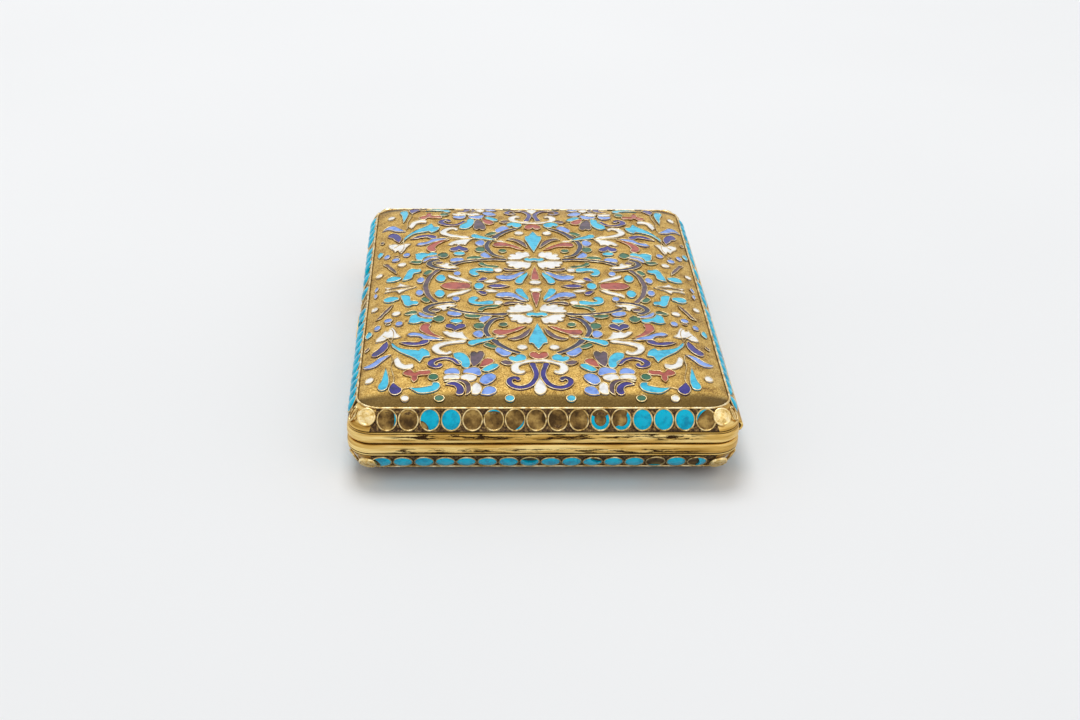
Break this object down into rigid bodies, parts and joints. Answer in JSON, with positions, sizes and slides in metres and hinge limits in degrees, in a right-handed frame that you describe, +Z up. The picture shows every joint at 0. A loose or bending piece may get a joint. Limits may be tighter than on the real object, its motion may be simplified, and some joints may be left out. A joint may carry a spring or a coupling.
{
  "type": "cigarette case",
  "caption": "Flat hinged case with cushioned enamelled faces, bead border, side hinge and sprung push catch.",
  "frame": {"origin": "middle of the case's plan, on the flat underside that it rests on", "axes": "+Z up through the shut lid, +Y along the hinge towards the back end, +X towards the hinge side"},
  "size_m": [0.0818, 0.1106, 0.0191],
  "materials": {
    "gilt_ground": "satin",
    "bright_gilt": "gloss",
    "inner_gilt": "satin",
    "gilt_wire": "gloss",
    "turquoise_enamel": "gloss",
    "steel": "satin",
    "elastic": "matte"
  },
  "bodies": {
    "base": {"base_shell": "gilt_ground", "base_closing_lip": "inner_gilt", "base_rim_moulding": "bright_gilt", "base_border_wire": "gilt_wire", "base_front_bead_row": "turquoise_enamel", "base_back_bead_row": "turquoise_enamel", "base_hinge_side_bead_row": "turquoise_enamel", "base_catch_side_bead_row": "turquoise_enamel", "base_corner_disc_front_left": "bright_gilt", "base_corner_disc_front_right": "bright_gilt", "base_corner_disc_back_left": "bright_gilt", "base_corner_disc_back_right": "bright_gilt", "base_hinge_knuckle_1": "bright_gilt", "base_hinge_knuckle_2": "bright_gilt", "base_hinge_knuckle_3": "bright_gilt", "base_hinge_knuckle_4": "bright_gilt", "hinge_pin": "steel", "leaf_staple_front": "inner_gilt", "leaf_staple_back": "inner_gilt", "base_band_bracket_front": "inner_gilt", "base_band_bracket_back": "inner_gilt", "base_elastic_band": "elastic"},
    "lid": {"lid_shell": "gilt_ground", "lid_rim_moulding": "bright_gilt", "lid_border_wire": "gilt_wire", "lid_front_bead_row": "turquoise_enamel", "lid_back_bead_row": "turquoise_enamel", "lid_hinge_side_bead_row": "turquoise_enamel", "lid_catch_side_bead_row": "turquoise_enamel", "lid_corner_disc_front_left": "bright_gilt", "lid_corner_disc_front_right": "bright_gilt", "lid_corner_disc_back_left": "bright_gilt", "lid_corner_disc_back_right": "bright_gilt", "lid_hinge_knuckle_1": "bright_gilt", "lid_hinge_knuckle_2": "bright_gilt", "lid_hinge_knuckle_3": "bright_gilt", "lid_wirework": "gilt_wire", "lid_keeper": "inner_gilt", "lid_band_bracket_front": "inner_gilt", "lid_band_bracket_back": "inner_gilt", "lid_elastic_band": "elastic"},
    "catch": {"thumb_piece": "bright_gilt", "catch_leaf_spring": "steel", "latch_hook": "inner_gilt"}
  },
  "joints": [
    {"name": "lid_hinge", "type": "hinge", "parent": "base", "child": "lid", "pos_m": [0.03963, 0, 0.0093], "axis": [0, 1, 0], "range_deg": [0, 165]},
    {"name": "catch_push", "type": "slide", "parent": "base", "child": "catch", "axis": [1, 0, 0], "range_m": [0, 0.0006], "stiffness_N_per_m": 150, "springref_m": -0.001}
  ]
}
